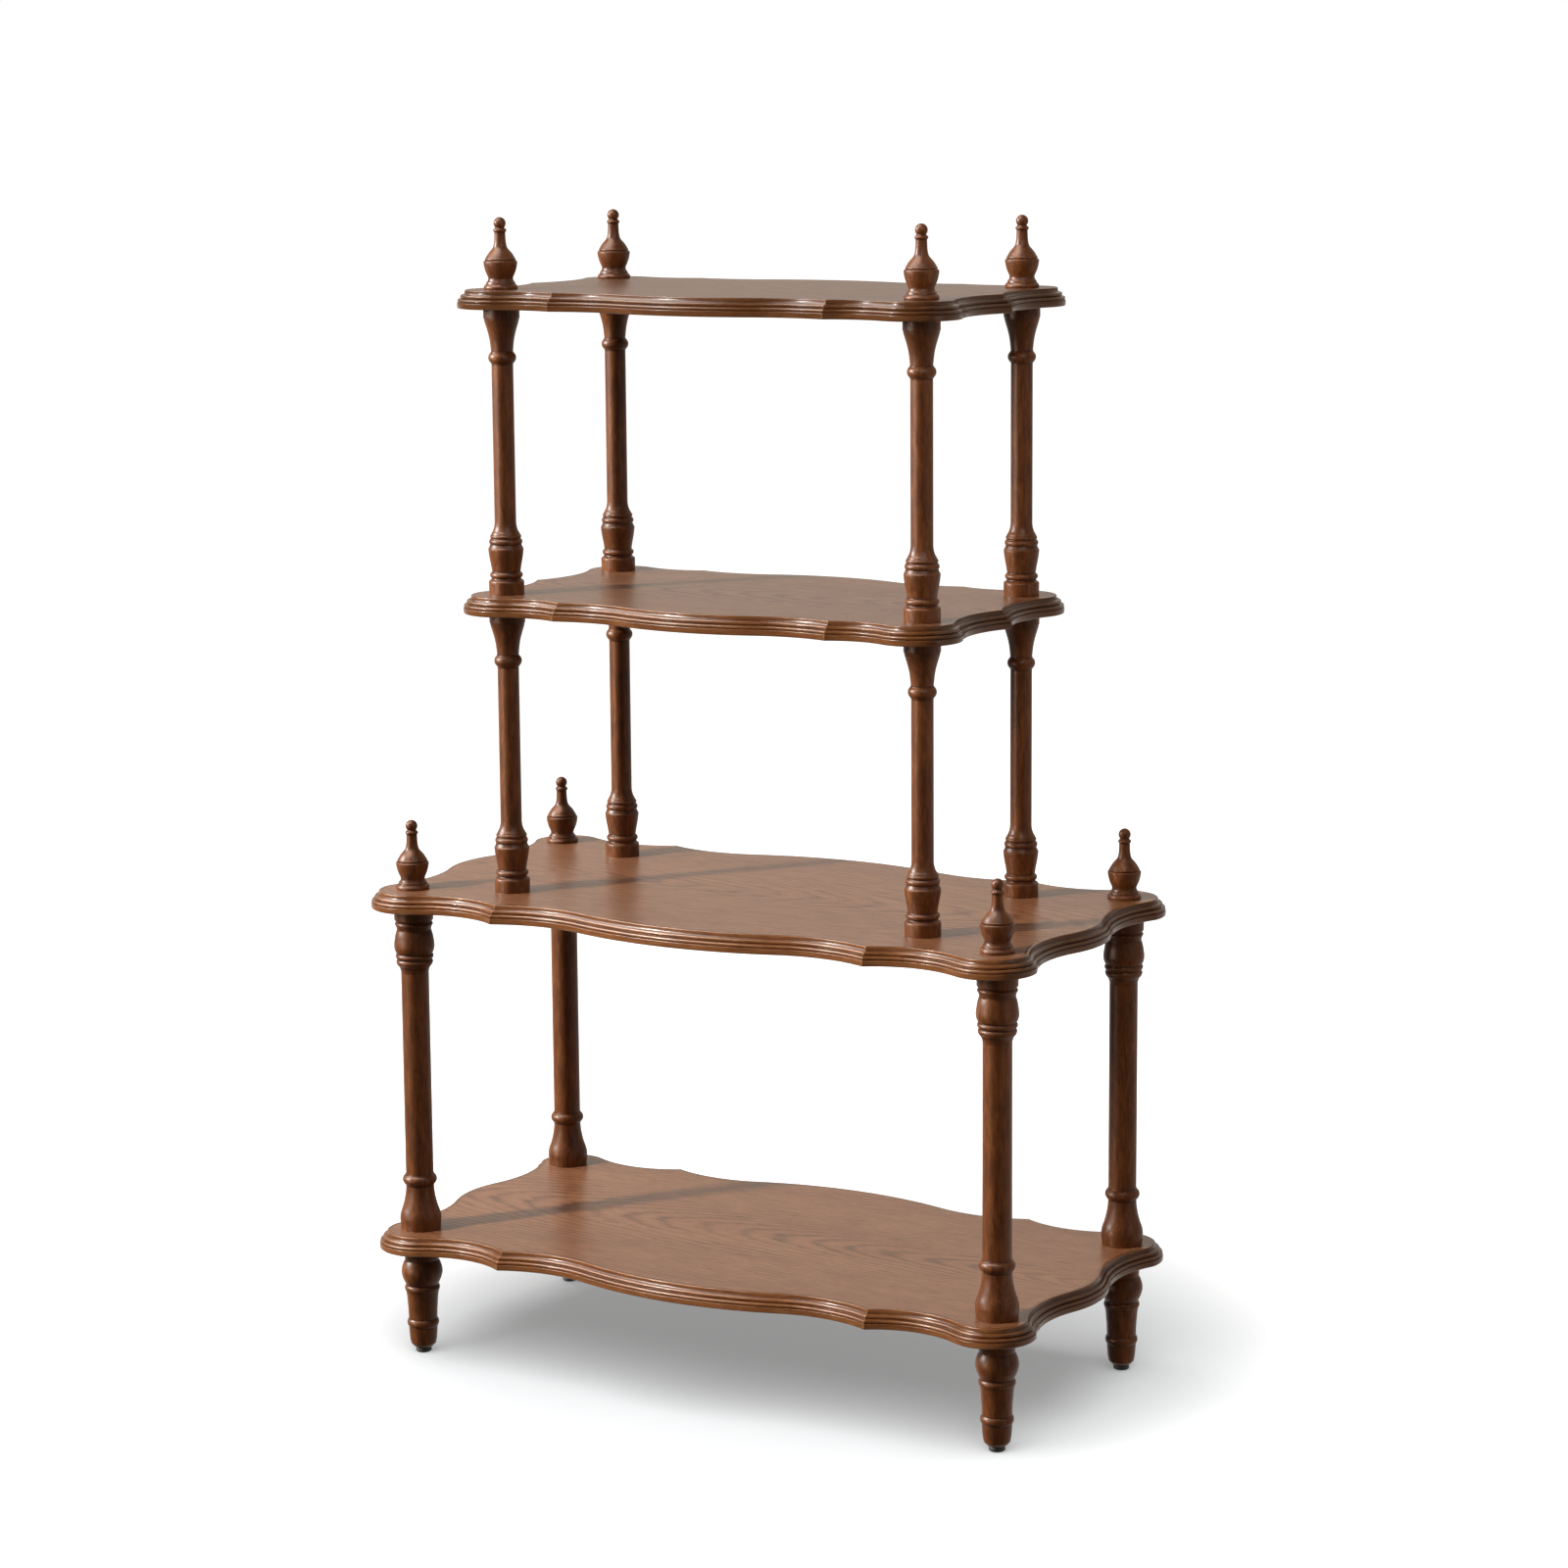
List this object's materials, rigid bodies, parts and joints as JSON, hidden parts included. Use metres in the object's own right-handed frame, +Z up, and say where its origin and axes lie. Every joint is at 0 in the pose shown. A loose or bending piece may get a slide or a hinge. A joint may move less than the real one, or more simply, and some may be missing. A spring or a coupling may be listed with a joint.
{
  "type": "tiered bookcase",
  "caption": "Open bookcase in the form of a stepped etagere: serpentine moulded shelves, the lower ones wider, on turned posts with ball finials and turned feet on levelling glides.",
  "frame": {"origin": "on the floor under the middle of the piece", "axes": "+Z up, -Y towards the front that the picture shows, +X to the right seen from the front"},
  "size_m": [0.786, 0.4178, 1.2315],
  "materials": {
    "shelf_wood": "walnut-stained wood, satin lacquer",
    "turned_wood": "walnut-stained turned wood, satin lacquer",
    "screw_steel": "zinc-plated",
    "insert_brass": "plain",
    "glide_plastic": "matt black"
  },
  "bodies": {
    "etagere": {"bottom_shelf": "shelf_wood", "foot_dowel_screws": "screw_steel", "foot_front_left": "turned_wood", "foot_front_right": "turned_wood", "foot_rear_left": "turned_wood", "foot_rear_right": "turned_wood", "glide_inserts": "insert_brass", "lower_finial_dowel_screws": "screw_steel", "lower_finial_front_left": "turned_wood", "lower_finial_front_right": "turned_wood", "lower_finial_rear_left": "turned_wood", "lower_finial_rear_right": "turned_wood", "lower_post_front_left": "turned_wood", "lower_post_front_right": "turned_wood", "lower_post_rear_left": "turned_wood", "lower_post_rear_right": "turned_wood", "middle_post_front_left": "turned_wood", "middle_post_front_right": "turned_wood", "middle_post_rear_left": "turned_wood", "middle_post_rear_right": "turned_wood", "middle_post_screws": "screw_steel", "second_shelf": "shelf_wood", "third_shelf": "shelf_wood", "top_finial_dowel_screws": "screw_steel", "top_finial_front_left": "turned_wood", "top_finial_front_right": "turned_wood", "top_finial_rear_left": "turned_wood", "top_finial_rear_right": "turned_wood", "top_shelf": "shelf_wood", "upper_post_dowel_screws": "screw_steel", "upper_post_front_left": "turned_wood", "upper_post_front_right": "turned_wood", "upper_post_rear_left": "turned_wood", "upper_post_rear_right": "turned_wood"},
    "glide_front_left": {"glide_pad_front_left": "glide_plastic", "glide_stem_front_left": "screw_steel"},
    "glide_front_right": {"glide_pad_front_right": "glide_plastic", "glide_stem_front_right": "screw_steel"},
    "glide_rear_left": {"glide_pad_rear_left": "glide_plastic", "glide_stem_rear_left": "screw_steel"},
    "glide_rear_right": {"glide_pad_rear_right": "glide_plastic", "glide_stem_rear_right": "screw_steel"}
  },
  "joints": [
    {"name": "glide_front_left_travel", "type": "slide", "parent": "etagere", "child": "glide_front_left", "axis": [0, 0, -1], "range_m": [0, 0.01]},
    {"name": "glide_front_right_travel", "type": "slide", "parent": "etagere", "child": "glide_front_right", "axis": [0, 0, -1], "range_m": [0, 0.01]},
    {"name": "glide_rear_left_travel", "type": "slide", "parent": "etagere", "child": "glide_rear_left", "axis": [0, 0, -1], "range_m": [0, 0.01]},
    {"name": "glide_rear_right_travel", "type": "slide", "parent": "etagere", "child": "glide_rear_right", "axis": [0, 0, -1], "range_m": [0, 0.01]}
  ]
}
